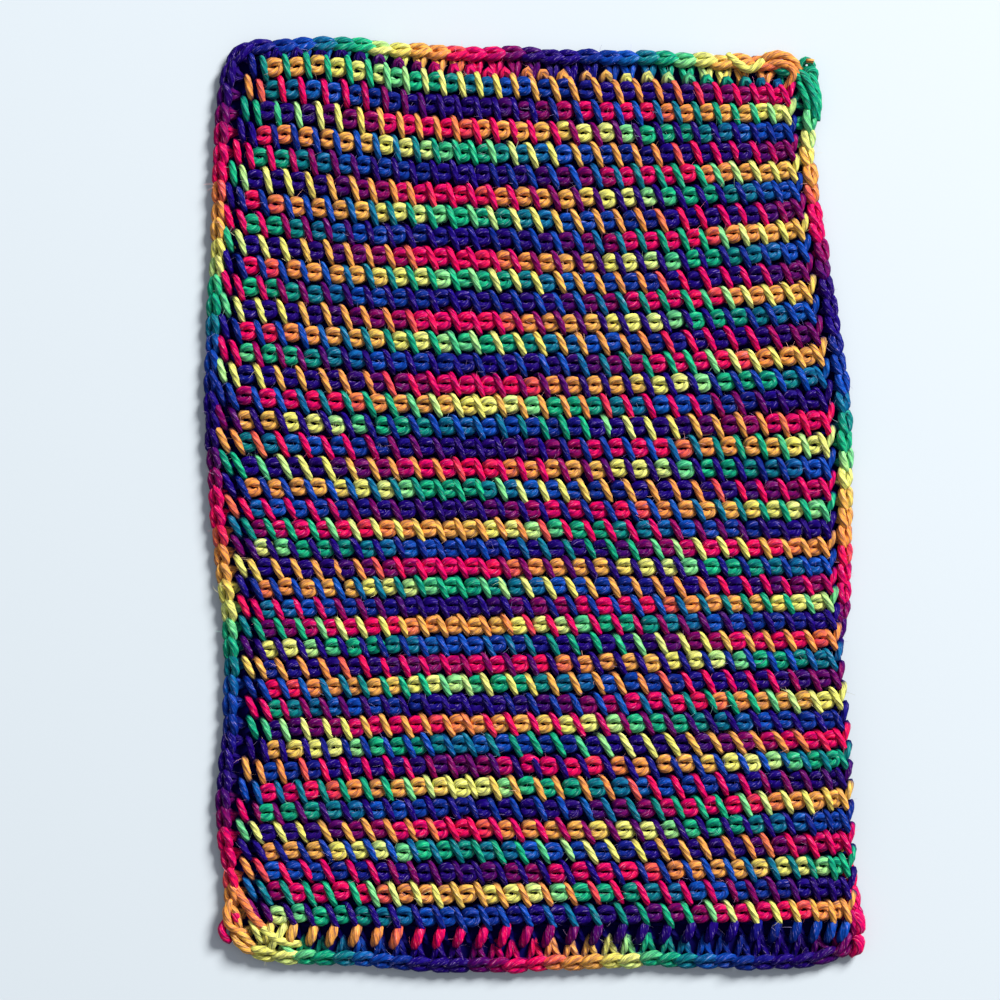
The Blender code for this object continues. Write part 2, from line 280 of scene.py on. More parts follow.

# %% [markdown]
# ## One stitch, as a maker sees it
# Tunisian simple stitch has two kinds of loop. On the way to the left the hook draws up a loop behind every
# upright strand: its front leg is the slanting bar that shows, its back leg stays hidden. On the way back to
# the right a chain closes those loops: each link shows as a small pillow of two strands between two bars.
# All are short lists of places that the yarn passes: across in stitches from the bar, up in rows, and height
# and radius in millimetres. Four more lists serve the turns at the two ends of a row, the fat upright strands
# of the foundation chain below and the chain that closes the panel above.

# %% Loops of the stitch
# Each line: across, up, height, radius
BAR_LOOP = np.array((
    (-0.55, -0.40, 1.35, 1.10),
    (-0.05, -0.50, 1.35, 1.10),
    (0.34, -0.61, 2.40, 0.95),
    (0.31, -0.48, 4.30, 1.02),
    (0.20, -0.18, 5.20, 1.14),
    (0.08, 0.14, 5.20, 1.14),
    (-0.03, 0.38, 4.50, 1.04),
    (-0.11, 0.48, 3.20, 0.95),
    (-0.27, 0.47, 2.80, 0.95),
    (-0.28, 0.20, 1.35, 1.10),
    (0.15, -0.40, 1.35, 1.10),
))
LINK_LOOP = np.array((
    (0.44, -0.03, 2.50, 1.20),
    (0.33, -0.15, 3.70, 1.42),
    (0.48, -0.24, 4.20, 1.46),
    (0.72, -0.24, 4.30, 1.49),
    (0.91, -0.14, 4.10, 1.44),
    (0.98, 0.02, 3.90, 1.44),
    (0.89, 0.16, 4.20, 1.44),
    (0.68, 0.24, 4.30, 1.49),
    (0.45, 0.23, 4.20, 1.46),
    (0.32, 0.12, 3.60, 1.40),
    (0.44, 0.02, 2.50, 1.20),
    (0.75, 0.00, 1.35, 1.15),
    (1.15, -0.03, 1.35, 1.15),
))
FOOT_LOOP = np.array((
    (-0.50, -0.20, 1.35, 1.10),
    (-0.14, -0.40, 2.00, 1.20),
    (-0.03, -0.24, 3.80, 1.50),
    (0.13, 0.12, 4.60, 1.78),
    (0.29, 0.48, 3.80, 1.50),
    (0.36, 0.64, 2.00, 1.20),
    (0.40, 0.30, 1.35, 1.10),
))
TOP_LOOP = np.array((
    (0.30, -0.72, 1.80, 1.10),
    (0.42, -0.52, 3.20, 1.25),
    (0.60, -0.24, 3.80, 1.30),
    (0.78, -0.48, 3.30, 1.25),
    (0.92, -0.72, 1.80, 1.10),
))
LEFT_TURN = np.array((
    (-0.55, -0.40, 1.40, 1.10),
    (-0.37, -0.50, 1.70, 1.10),
    (-0.33, -0.38, 3.10, 1.12),
    (-0.42, -0.10, 4.40, 1.20),
    (-0.54, 0.24, 4.60, 1.22),
    (-0.65, 0.52, 4.00, 1.15),
    (-0.72, 0.68, 2.40, 1.10),
    (-0.55, 0.84, 1.45, 1.10),
    (-0.30, 0.98, 1.35, 1.15),
))
RIGHT_TURN = np.array((
    (0.10, -0.16, 2.20, 1.15),
    (0.30, -0.02, 3.60, 1.20),
    (0.42, 0.24, 4.10, 1.25),
    (0.50, 0.52, 4.00, 1.22),
    (0.56, 0.74, 3.00, 1.15),
    (0.50, 0.80, 1.60, 1.10),
    (0.30, 0.30, 1.35, 1.10),
    (0.30, -0.30, 1.35, 1.10),
))
STITCH_SPREAD = (0.045, 0.038, 0.17)
LOWEST_HEIGHT = 1.3


def row_loops(shape, first, count, row):
    """The shape's points for a run of stitches from left to right, each a little out of true."""
    loops = np.repeat(shape[None, :, :], count, axis=0)
    loops[:, :, 0] += first + np.arange(count)[:, None]
    loops[:, :, 1] += row
    loops[:, :, :3] += rng.normal(0.0, 1.0, (count, 1, 3)) * STITCH_SPREAD
    loops[:, :, 2] = np.maximum(loops[:, :, 2], LOWEST_HEIGHT)
    return loops.reshape(-1, shape.shape[1])


def with_phase(points, phase):
    """The points with one more column, their phase."""
    return np.column_stack([points, phase])


def link_row(row):
    """Return links of one row, worked from left to right."""
    links = row_loops(LINK_LOOP, 0, BARS - 1, row)
    order = np.arange(len(links)) / len(LINK_LOOP)
    return with_phase(links, link_phase(row, order))


def bar_row(row):
    """Bars that cross one row, worked from right to left. Those of the foundation row lie in its chain."""
    shape = FOOT_LOOP if row == 0 else BAR_LOOP
    bars = row_loops(shape, 0, BARS, row)
    order = np.arange(len(bars)) / len(shape) - 0.5
    return with_phase(bars, bar_phase(row, order))[::-1]


def top_row():
    """Chain that ends the panel, worked from left to right above the last row."""
    row = STITCH_ROWS + 1
    chain = row_loops(TOP_LOOP, 0, BARS - 1, row)
    order = np.arange(len(chain)) / len(TOP_LOOP)
    return with_phase(chain, link_phase(row, order))


def turn(shape, across, row, phase):
    """The yarn's way round at the end of a row."""
    points = shape.copy()
    points[:, 0] += across
    points[:, 1] += row
    return with_phase(points, np.full(len(points), phase))


def field_path(first_row, last_row):
    """Path of the yarn through some rows, from their first return link to the last bar and its turn."""
    parts = []
    if first_row == 0:
        parts.append(bar_row(0))
        parts.append(turn(LEFT_TURN, 0, 0, link_phase(1, -0.5)))
        first_row = 1
    for row in range(first_row, last_row + 1):
        parts.append(link_row(row))
        parts.append(turn(RIGHT_TURN, BARS - 1, row, link_phase(row, BARS - 0.5)))
        parts.append(bar_row(row))
        parts.append(turn(LEFT_TURN, 0, row, link_phase(row + 1, -0.5)))
    if last_row == STITCH_ROWS:
        parts.append(top_row())
    return np.concatenate(parts)


print("control points in a stitch:", len(BAR_LOOP) + len(LINK_LOOP))

# %% [markdown]
# ## From stitches to millimetres
# A stitch's own units are turned into a place on the mat by the section table. Columns of stitches aren't
# quite straight either: a second table says how far they wander. Near the right edge the panel is lifted
# where the edging has slipped under it. That lift is kept, because the height less the lift says how deep in
# the fabric a strand lies, and that depth sets the painted shade in the yarn's colour.

# %% Place the stitches on the mat
FIRST_BAR_INSET = 4.4
LAST_BAR_INSET = 3.4
LIFT_FROM = 0.86
LIFT_SPAN = 0.12
# Columns of a path, after x, y and z. The length of yarn is added with the rings
RADIUS, PHASE, LIFT, LENGTH = 3, 4, 5, 6
DRIFT_ACROSS = (0, 5, 9, 14, 18, 23, 26, 27)
# For each row, how many stitches its bars have wandered to the right at the places in DRIFT_ACROSS
DRIFT = np.array((
    (1, 0.30, 0.30, 0.25, 0.50, 0.90, 1.00, 0.70, 0.25),
    (4, 0.20, 0.40, 0.25, 0.37, 0.80, 0.78, 0.60, 0.20),
    (8, 0.30, 0.25, 0.14, 0.20, 0.50, 0.60, 0.45, 0.15),
    (10, 0.45, 0.10, -0.13, -0.10, 0.15, 0.20, 0.10, 0.05),
    (14, 0.08, -0.10, -0.32, -0.22, -0.12, 0.00, -0.10, -0.15),
    (18, 0.15, 0.00, -0.15, -0.20, -0.10, 0.00, -0.10, -0.20),
    (22, 0.00, 0.00, 0.00, -0.25, -0.20, -0.10, -0.15, -0.25),
    (25, -0.25, -0.05, 0.00, -0.10, -0.25, -0.08, -0.15, -0.25),
    (28, -0.18, -0.12, -0.05, 0.02, -0.12, -0.13, -0.15, -0.25),
    (32, -0.15, -0.05, 0.00, 0.00, 0.00, 0.00, -0.10, -0.25),
    (35, -0.20, 0.15, 0.00, 0.10, 0.28, 0.30, 0.15, -0.05),
    (38, 0.20, 0.40, 0.38, 0.20, 0.48, 0.43, 0.30, 0.10),
    (41, 0.45, 0.80, 0.60, 0.25, 0.50, 0.65, 0.40, 0.10),
))


def drift_at(across, row):
    """How far a stitch has wandered to the right, in stitches."""
    columns = np.array([smooth_value(DRIFT[:, 0], column, row) for column in DRIFT.T[1:]])
    return smooth_value(DRIFT_ACROSS, columns, np.clip(across, 0, BARS - 1))


def on_mat(points):
    """Rows of x, y, z, radius, phase and lift, in millimetres, from points in stitch units."""
    across, row = points[:, 0], points[:, 1]
    across = across + drift_at(across, row)
    width = section_value("right", row) - section_value("left", row)
    share = (FIRST_BAR_INSET + (width - FIRST_BAR_INSET - LAST_BAR_INSET) * across / (BARS - 1)) / width
    flat = fabric_place(share, row) + SHIFT
    near = np.clip((share - LIFT_FROM) / LIFT_SPAN, 0.0, 1.0)
    tuck = np.clip(section_value("tuck", row), 0.0, 1.0)
    rise = TUCK_RISE * tuck * near * near * (3 - 2 * near)
    return np.column_stack([flat, points[:, 2] + rise, points[:, 3], points[:, 4], rise])


def curve_through(rows, steps=6):
    """A smooth curve through the points: centripetal Catmull-Rom, which doesn't loop between them."""
    ends = np.vstack([2 * rows[0] - rows[1], rows, 2 * rows[-1] - rows[-2]])
    gaps = np.sqrt(np.linalg.norm(np.diff(ends[:, :3], axis=0), axis=1) + 1e-4)[:, None]
    a, b, c, d = ends[:-3], ends[1:-2], ends[2:-1], ends[3:]
    before, here, after = gaps[:-2], gaps[1:-1], gaps[2:]
    leave = here * ((b - a) / before - (c - a) / (before + here) + (c - b) / here)
    arrive = here * ((c - b) / here - (d - b) / (here + after) + (d - c) / after)
    t = (np.arange(steps) / steps)[None, :, None]
    b, c, leave, arrive = (x[:, None, :] for x in (b, c, leave, arrive))
    curve = ((2 * t ** 3 - 3 * t ** 2 + 1) * b + (t ** 3 - 2 * t ** 2 + t) * leave
             + (3 * t ** 2 - 2 * t ** 3) * c + (t ** 3 - t ** 2) * arrive)
    return np.vstack([curve.reshape(-1, rows.shape[1]), rows[-1:]])


def rings_along(curve, shown_gap, hidden_gap, hidden_below):
    """Rings along the curve, closer where the strand shows, with the length of yarn up to each."""
    steps = np.linalg.norm(np.diff(curve[:, :3], axis=0), axis=1)
    length = np.concatenate([[0.0], np.cumsum(steps)])
    gap = np.where(curve[1:, 2] - curve[1:, LIFT] > hidden_below, shown_gap, hidden_gap)
    count = np.concatenate([[0.0], np.cumsum(steps / gap)])
    at = np.linspace(0.0, count[-1], int(count[-1]) + 1)
    columns = [np.interp(at, count, curve[:, k]) for k in range(curve.shape[1])]
    return np.column_stack(columns + [np.interp(at, count, length)])


# %% [markdown]
# ## The yarn
# Worsted acrylic is four plies laid round each other to the left, an S twist: on an upright strand the plies
# run like the middle of the letter S. A curve object with a lobed section as its bevel gives the tube, and
# each point's tilt turns the section a little further, so the lobes wind round as plies do. The tube is made
# a mesh, because two attributes have to go with it: strand, which holds the phase, the length of yarn and
# the lift, and ply, which says where round the yarn a point is. Its two ends are closed.

# %% Yarn from a path
PLIES = 4
SECTION_SIDES = 8
GROOVE = 0.86
PLY_TURN = 14.8


def make_yarn_section():
    """Lobed cross-section of the yarn, one millimetre in radius, as a closed curve."""
    curve = bpy.data.curves.new("yarn_section", "CURVE")
    curve.dimensions = "2D"
    spline = curve.splines.new("POLY")
    spline.points.add(SECTION_SIDES - 1)
    for k, point in enumerate(spline.points):
        angle = 2 * math.pi * k / SECTION_SIDES
        reach = (1.0 if k % 2 == 0 else GROOVE) * MM
        point.co = (reach * math.cos(angle), reach * math.sin(angle), 0.0, 1.0)
    spline.use_cyclic_u = True
    section = bpy.data.objects.new("yarn_section", curve)
    bpy.context.scene.collection.objects.link(section)
    return section


def only(piece):
    """Select one object alone and make it the active one."""
    bpy.ops.object.select_all(action="DESELECT")
    piece.select_set(True)
    bpy.context.view_layer.objects.active = piece


def add_vectors(mesh, label, values):
    """Give a mesh a vector attribute on its points."""
    attribute = mesh.attributes.new(label, "FLOAT_VECTOR", "POINT")
    attribute.data.foreach_set("vector", values.astype(np.float32).ravel())


def make_yarn(name, rings):
    """A tube of plied yarn along the rings, with its strand and ply attributes."""
    curve = bpy.data.curves.new(name, "CURVE")
    curve.dimensions = "3D"
    curve.twist_mode = "MINIMUM"
    curve.bevel_mode = "OBJECT"
    curve.bevel_object = yarn_section
    spline = curve.splines.new("POLY")
    spline.points.add(len(rings) - 1)
    places = np.column_stack([rings[:, :3] * MM, np.ones(len(rings))])
    spline.points.foreach_set("co", places.ravel())
    spline.points.foreach_set("radius", rings[:, RADIUS])
    spline.points.foreach_set("tilt", -2 * math.pi * rings[:, LENGTH] / PLY_TURN)
    piece = bpy.data.objects.new(name, curve)
    bpy.context.scene.collection.objects.link(piece)
    only(piece)
    bpy.ops.object.convert(target="MESH")
    mesh = bpy.context.object.data
    sides = len(mesh.vertices) // len(rings)
    strand = np.repeat(rings[:, (PHASE, LENGTH, LIFT)], sides, axis=0)
    angle = 2 * math.pi * np.tile(np.arange(sides), len(rings)) / sides
    ply = np.column_stack([np.cos(angle), np.sin(angle), np.zeros(len(angle))])
    add_vectors(mesh, "strand", strand)
    add_vectors(mesh, "ply", ply)
    shell = bmesh.new()
    shell.from_mesh(mesh)
    bmesh.ops.holes_fill(shell, edges=[edge for edge in shell.edges if edge.is_boundary], sides=0)
    shell.to_mesh(mesh)
    shell.free()
    bpy.ops.object.shade_smooth()
    return bpy.context.object


yarn_section = make_yarn_section()

# %% [markdown]
# ## The panel
# The panel is cut into four pieces of about ten rows, which keeps each mesh light enough. They meet where the
# yarn turns at the left edge.

# %% Work the panel
ROW_GROUPS = ((0, 10), (11, 20), (21, 30), (31, 41))
panel_pieces = []
panel_rings = []
for number, (first_row, last_row) in enumerate(ROW_GROUPS, start=1):
    curve = curve_through(on_mat(field_path(first_row, last_row)))
    rings = rings_along(curve, shown_gap=1.05, hidden_gap=1.9, hidden_below=2.3)
    piece = make_yarn("panel_rows_%d" % number, rings)
    panel_pieces.append(piece)
    panel_rings.append(rings)
    triangles = 2 * len(piece.data.polygons)
    print(piece.name, "yarn %.1f m, %d triangles" % (rings[-1, LENGTH] * MM, triangles))

# %% [markdown]
# ## The edging
# Single crochet has a chain of V shapes on its outer side and two legs that reach down into the panel's edge.
# One stitch is given as a list again: along the round in stitches, out from the rim as a share of the
# edging's width, a further move outwards in millimetres, the height and the radius. The round is worked from
# the upper right corner to the left, and its legs stand highest along the top. The shade starts a little
# lower on the edging than on the panel.

# %% Stitch of the edging
# Each line: along, share out, further out, height, radius
EDGE_LOOP = np.array((
    (0.02, 1.0, -3.4, 2.00, 1.10),
    (0.08, 1.0, -2.8, 3.30, 1.25),
    (0.40, 1.0, -3.5, 3.90, 1.42),
    (0.80, 1.0, -4.0, 3.80, 1.42),
    (1.10, 1.0, -3.4, 2.80, 1.25),
    (1.22, 1.0, -2.4, 2.00, 1.20),
    (1.10, 1.0, -1.6, 2.00, 1.25),
    (0.75, 1.0, -1.30, 2.30, 1.32),
    (0.38, 1.0, -1.5, 2.50, 1.32),
    (0.12, 1.0, -2.3, 2.30, 1.15),
    (0.18, 0.8, -2.6, 1.60, 1.10),
    (0.32, 0.4, -0.8, 2.70, 1.28),
    (0.45, 0.0, -0.2, 2.50, 1.25),
    (0.50, 0.0, -1.6, 1.45, 1.10),
    (0.55, 0.0, -0.2, 2.40, 1.25),
    (0.68, 0.4, -0.8, 2.70, 1.28),
    (0.84, 0.8, -2.4, 2.10, 1.10),
))
# The legs are the points from this one on. Their heights are scaled by shares of the round
FIRST_POST_POINT = 10
POST_SHARES = (0.0, 0.185, 0.205, 0.485, 0.505, 0.69, 0.71, 0.985, 1.0)
POST_HEIGHTS = (1.0, 1.0, 0.66, 0.66, 0.70, 0.70, 0.75, 0.75, 1.0)
# Phase of the dye at shares of the round
EDGE_SHARES = (0.0, 0.185, 0.2207, 0.482, 0.505, 0.557, 0.587, 0.712, 0.823, 0.949, 0.977, 1.0)
EDGE_PHASES = (0.06, 1.735, 2.0, 4.155, 4.30, 4.735, 5.0, 6.0, 7.0, 8.0, 8.30, 8.41)
EDGE_SPREAD = (0.05, 0.0, 0.22, 0.12)
# The edging's lift is lower by this much, so its painted shade starts lower than on the panel
EDGE_LOWER = 1.0
EDGE_LOWEST = 1.2
# Under the panel, the outermost strand's middle lies this far inside the outer side, the rest squeezed to it
STRAND_INSET = 1.2
TUCKED_REACH = 0.6
TUCKED_FLATTER = 0.45


def edging_path(first, count):
    """Path of the yarn through a run of edging stitches, in millimetres."""
    loops = np.repeat(EDGE_LOOP[None, :, :], count, axis=0)
    loops[:, :, 0] += first + np.arange(count)[:, None]
    loops[:, :, :4] += rng.normal(0.0, 1.0, (count, 1, 4)) * EDGE_SPREAD
    share = ((first + np.arange(count)) / EDGING_STITCHES)[:, None]
    loops[:, FIRST_POST_POINT:, 3] *= np.interp(share, POST_SHARES, POST_HEIGHTS)
    loops = loops.reshape(-1, EDGE_LOOP.shape[1])
    loops[:, 3] = np.maximum(loops[:, 3], EDGE_LOWEST)
    order = first + np.arange(len(loops)) / len(EDGE_LOOP)
    reach = (loops[:, 0] / EDGING_STITCHES) % 1.0 * rim_reach[-1]

    def at_rim(values):
        """The rim's own values, closed into a ring, at these stitches."""
        return np.interp(reach, rim_reach, np.append(values, values[0]))

    point = np.column_stack([at_rim(rim_points[:, 0]), at_rim(rim_points[:, 1])])
    normal = np.column_stack([at_rim(rim_normals[:, 0]), at_rim(rim_normals[:, 1])])
    width, tuck = at_rim(rim_width), at_rim(rim_tuck)
    under = slid_under(tuck)
    out = loops[:, 1] * width + loops[:, 2]
    tucked_out = TUCKED_OUTER - STRAND_INSET + TUCKED_REACH * (loops[:, 2] + STRAND_INSET)
    out = out * (1 - under) + tucked_out * under
    height = loops[:, 3] * (1 - np.minimum(tuck / SLIDE_FROM, 1.0) * TUCKED_FLATTER)
    height = np.maximum(height, EDGE_LOWEST)
    phase = np.interp(order / EDGING_STITCHES, EDGE_SHARES, EDGE_PHASES)
    flat = point + normal * out[:, None] + SHIFT
    lift = height - loops[:, 3] - EDGE_LOWER
    return np.column_stack([flat, height, loops[:, 4], phase, lift])


# %% Work the edging
edging_curve = curve_through(edging_path(0, EDGING_STITCHES))
edging_rings = rings_along(edging_curve, shown_gap=1.05, hidden_gap=1.6, hidden_below=2.6)
edging_yarn_piece = make_yarn("edging_round", edging_rings)
print("edging yarn %.1f m, %d triangles" % (edging_rings[-1, LENGTH] * MM,
                                            2 * len(edging_yarn_piece.data.polygons)))

# %% [markdown]
# ## Corners and the fastened end
# The edging piles up at three corners, and at the upper right its end is knotted and cut. These few strands
# follow no rule, so each is a short list of its own: places in the photograph, height and radius.

# %% Lay the corner strands
CORNER_GAP = 0.9
CORNER_STRANDS = (
    # Phase, then for each point its two pixels, height and radius
    (0.07, ((236, 884, 2.0, 1.2), (241, 893, 4.4, 1.5), (249, 905, 5.0, 1.5), (257, 918, 4.8, 1.5),
            (268, 929, 4.2, 1.4), (276, 938, 2.2, 1.2))),
    (0.12, ((240, 894, 2.0, 1.2), (231, 901, 3.8, 1.4), (228, 914, 4.2, 1.5), (232, 925, 4.2, 1.4),
            (243, 930, 3.4, 1.3), (250, 934, 2.0, 1.2))),
    (1.02, ((234, 908, 2.4, 1.2), (237, 914, 4.4, 1.4), (239, 921, 3.6, 1.2))),
    (0.95, ((228, 918, 2.0, 1.2), (223, 926, 3.2, 1.4), (225, 935, 3.0, 1.4), (231, 940, 1.8, 1.2))),
    (0.19, ((233, 930, 2.0, 1.2), (238, 939, 3.6, 1.4), (248, 948, 3.6, 1.4), (262, 951, 2.0, 1.2))),
    (0.25, ((256, 916, 2.0, 1.2), (264, 926, 4.6, 1.5), (277, 936, 5.0, 1.5), (291, 941, 4.2, 1.4),
            (301, 943, 2.2, 1.2))),
    (0.27, ((288, 918, 2.0, 1.2), (284, 927, 4.4, 1.4), (276, 939, 4.6, 1.5), (268, 950, 2.6, 1.3))),
    (0.31, ((280, 938, 2.4, 1.2), (289, 948, 4.0, 1.3), (300, 957, 2.6, 1.2))),
    (0.24, ((727, 56, 2.4, 1.2), (737, 66, 4.6, 1.4), (748, 72, 4.9, 1.4), (758, 66, 4.6, 1.4),
            (767, 56, 2.4, 1.2))),
    (0.12, ((757, 66, 2.6, 1.3), (766, 59, 4.4, 1.4), (779, 57, 4.6, 1.5), (791, 62, 4.4, 1.4),
            (799, 71, 2.6, 1.3))),
    (0.10, ((764, 67, 3.4, 1.3), (776, 65, 4.6, 1.4), (788, 69, 4.6, 1.4), (797, 76, 3.0, 1.3))),
    (0.09, ((780, 66, 3.6, 1.3), (788, 68, 5.0, 1.3), (792, 75, 5.0, 1.3), (788, 84, 4.0, 1.3),
            (781, 92, 2.6, 1.2))),
    (0.39, ((797, 72, 2.4, 1.2), (804, 79, 4.2, 1.35), (809, 90, 4.4, 1.4), (813, 104, 4.2, 1.4),
            (812, 119, 2.6, 1.3))),
    (0.36, ((801, 68, 2.2, 1.2), (809, 75, 3.0, 1.3), (814, 87, 3.2, 1.35), (817, 102, 3.2, 1.35),
            (816, 122, 2.0, 1.2))),
    (0.37, ((798, 73, 1.9, 1.2), (800, 65, 3.0, 1.3), (806, 62, 3.6, 1.3), (811, 67, 3.2, 1.3),
            (808, 75, 2.4, 1.2))),
    (0.38, ((801, 77, 2.2, 1.2), (807, 71, 3.8, 1.3), (813, 72, 3.4, 1.3), (814, 81, 2.2, 1.2))),
    (0.13, ((805, 63, 4.6, 0.7), (809, 63, 5.0, 0.75), (812, 64, 5.0, 0.75))),
    (0.98, ((851, 908, 2.0, 1.4), (857, 916, 3.6, 2.0), (858, 926, 3.6, 2.1), (851, 933, 2.2, 1.6))),
    (0.96, ((849, 932, 2.0, 1.4), (857, 938, 3.6, 2.0), (857, 946, 3.4, 2.0), (849, 953, 2.0, 1.5))),
)


def make_corner_strands():
    """The strands of the corners and of the knot, joined in one mesh."""
    strands = []
    for number, (phase, points) in enumerate(CORNER_STRANDS):
        table = np.array(points, float)
        flat = np.stack(from_photo(table[:, 0], table[:, 1]), axis=1) + SHIFT
        # The lift of the edging, so that the painted shade starts as low on these strands
        rest = [np.full(len(table), value) for value in (phase, -EDGE_LOWER)]
        curve = curve_through(np.column_stack([flat, table[:, 2:]] + rest))
        rings = rings_along(curve, shown_gap=CORNER_GAP, hidden_gap=CORNER_GAP, hidden_below=0.0)
        strands.append(make_yarn("corner_strand_%d" % number, rings))
    bpy.ops.object.select_all(action="DESELECT")
    for strand in strands:
        strand.select_set(True)
    bpy.context.view_layer.objects.active = strands[0]
    bpy.ops.object.join()
    strands[0].name = "corner_strands"
    return strands[0]


corner_piece = make_corner_strands()
print("corner strands:", len(CORNER_STRANDS))

# %% [markdown]
# ## Loose fibres
# Acrylic yarn is never quite smooth: short ends of fibre stand off it, catch the light and blur its outline.
# Each is a bent hair with three sides, and all of them together are one mesh, built from arrays.

# %% Comb out some loose fibres
FIBRES = 5200
FIBRE_STEPS = 5
FIBRE_RADIUS = 0.05
FIBRE_LENGTH = (1.0, 3.4)
FIBRE_SHOWN = 2.8
FIBRE_SIDES = 3
FIBRE_LOWEST = 0.3


def make_fibres(rings):
    """Bent hairs that stand off the yarn, as one mesh with the yarn's own strand attribute."""
    chosen = rings[rng.choice(len(rings), FIBRES, replace=False)]
    away = rng.normal(0.0, 1.0, (FIBRES, 3)) * (1.0, 1.0, 0.8)
    away[:, 2] = np.abs(away[:, 2]) * 0.7 + 0.1
    away /= np.linalg.norm(away, axis=1)[:, None]
    drift = rng.normal(0.0, 1.0, (FIBRES, 3)) * (1.0, 1.0, 0.3)
    drift /= np.linalg.norm(drift, axis=1)[:, None]
    length = rng.uniform(*FIBRE_LENGTH, FIBRES)[:, None, None]
    t = np.linspace(0.0, 1.0, FIBRE_STEPS)[None, :, None]
    radius = chosen[:, None, RADIUS:RADIUS + 1]
    path = (chosen[:, None, :3] + away[:, None, :] * radius * 0.9
            + length * (0.35 * away[:, None, :] * (t - 0.8 * t * t)
                        + drift[:, None, :] * t * (0.5 + 0.5 * t)))
    path[:, :, 2] = np.maximum(path[:, :, 2], FIBRE_LOWEST)
    side = np.cross(drift, (0.0, 0.0, 1.0))
    side /= np.linalg.norm(side, axis=1)[:, None]
    over = np.cross(side, drift)
    angle = 2 * math.pi * np.arange(FIBRE_SIDES) / FIBRE_SIDES
    ring = (np.cos(angle)[None, None, :, None] * side[:, None, None, :]
            + np.sin(angle)[None, None, :, None] * over[:, None, None, :])
    taper = FIBRE_RADIUS * (1.0 - 0.6 * t)[:, :, None, :]
    co = (path[:, :, None, :] + ring * taper).reshape(-1, 3) * MM
    corner = np.arange(FIBRE_SIDES)
    beside = (corner + 1) % FIBRE_SIDES
    root = np.arange(FIBRES)[:, None] * FIBRE_STEPS * FIBRE_SIDES
    low = root[:, :, None] + np.arange(FIBRE_STEPS - 1)[None, :, None] * FIBRE_SIDES
    high = low + FIBRE_SIDES
    quads = np.stack([low + corner, low + beside, high + beside, high + corner], axis=-1).reshape(-1, 4)
    ends = np.vstack([root + corner[::-1], root + (FIBRE_STEPS - 1) * FIBRE_SIDES + corner])
    mesh = bpy.data.meshes.new("loose_fibres")
    mesh.from_pydata(co.tolist(), [], quads.tolist() + ends.tolist())
    strand = np.repeat(chosen[:, (PHASE, LENGTH, LIFT)], FIBRE_STEPS * FIBRE_SIDES, axis=0)
    add_vectors(mesh, "strand", strand)
    piece = bpy.data.objects.new("loose_fibres", mesh)
    bpy.context.scene.collection.objects.link(piece)
    return piece


all_rings = np.vstack(panel_rings + [edging_rings])
fibre_piece = make_fibres(all_rings[all_rings[:, 2] - all_rings[:, LIFT] > FIBRE_SHOWN])
print("loose fibres:", FIBRES, "hairs,", 2 * len(fibre_piece.data.polygons), "triangles")

# %% [markdown]
# ## The back of the cloth
# Seen from above, the gaps between the rows show the backs of the stitches in deep shade. They are drawn as
# one thin sheet that follows the panel and reaches a little way under the edging, and its colour is painted
# shade: two dark navies. The rows' own phase and the place across go with it, for the fuzz of its colour.

# %% Lay the back of the cloth
GROUND_TOP = 0.9
GROUND_BOTTOM = 0.1
GROUND_COLUMNS = 59
GROUND_LINES = 84
UNDER_CHAIN = 3.2
CORNER_CUT = 0.85
END_SHARE = 0.05
GROUND_WIDTH = 190.0


def make_ground():
    """A thin closed sheet on the panel's own sections."""
    bpy.ops.mesh.primitive_grid_add(x_subdivisions=GROUND_COLUMNS, y_subdivisions=GROUND_LINES, size=2)
    ground = bpy.context.object
    ground.name = "mat_ground"
    mesh = ground.data
    co = np.empty(len(mesh.vertices) * 3)
    mesh.vertices.foreach_get("co", co)
    co = co.reshape(-1, 3)
    share = (co[:, 0] + 1) / 2
    row = FOUNDATION_SIDE + (LAST_SIDE - FOUNDATION_SIDE) * (co[:, 1] + 1) / 2
    flat = fabric_place(share, row) + SHIFT
    not_tucked = 1 - np.clip(section_value("tuck", row) / SLIDE_FROM, 0, 1)
    edging_right = section_value("edging", row) * not_tucked
    at_right = np.clip((share - 1) / END_SHARE + 1, 0, 1)
    sideways = at_right - np.clip(1 - share / END_SHARE, 0, 1)
    endways = np.clip(row - LAST_SIDE + 1, 0, 1) - np.clip(FOUNDATION_SIDE + 1 - row, 0, 1)
    corner = 1 - CORNER_CUT * np.abs(sideways * endways)
    reach_x = np.maximum(np.where(sideways > 0, edging_right, EDGING_LEFT) - UNDER_CHAIN, 0.0)
    end_width = np.where(endways > 0, smooth_value(ENDS[:, 0], ENDS[:, 1], share),
                         smooth_value(ENDS[:, 0], ENDS[:, 2], share))
    flat[:, 0] += reach_x * corner * sideways
    flat[:, 1] += (end_width - UNDER_CHAIN) * corner * endways
    placed = np.column_stack([flat * MM, np.full(len(flat), GROUND_TOP * MM)])
    mesh.vertices.foreach_set("co", placed.ravel())
    thickness = ground.modifiers.new("thickness", "SOLIDIFY")
    thickness.thickness = (GROUND_TOP - GROUND_BOTTOM) * MM
    thickness.offset = -1.0
    only(ground)
    bpy.ops.object.modifier_apply(modifier=thickness.name)
    row = np.concatenate([row, row])
    share = np.concatenate([share, share])
    phase = link_phase(np.round(row), share * BARS)
    strand = np.column_stack([phase, share * GROUND_WIDTH, np.zeros(len(row))])
    add_vectors(mesh, "strand", strand)
    return ground


ground = make_ground()
print("back of the cloth:", len(ground.data.polygons), "faces")

# %% [markdown]
# ## Colours and nodes
# Colours are picked as sRGB hex values, as any paint program shows them, and Blender works in linear light,
# so one function turns them over. One more adds a shader node with its settings and links.

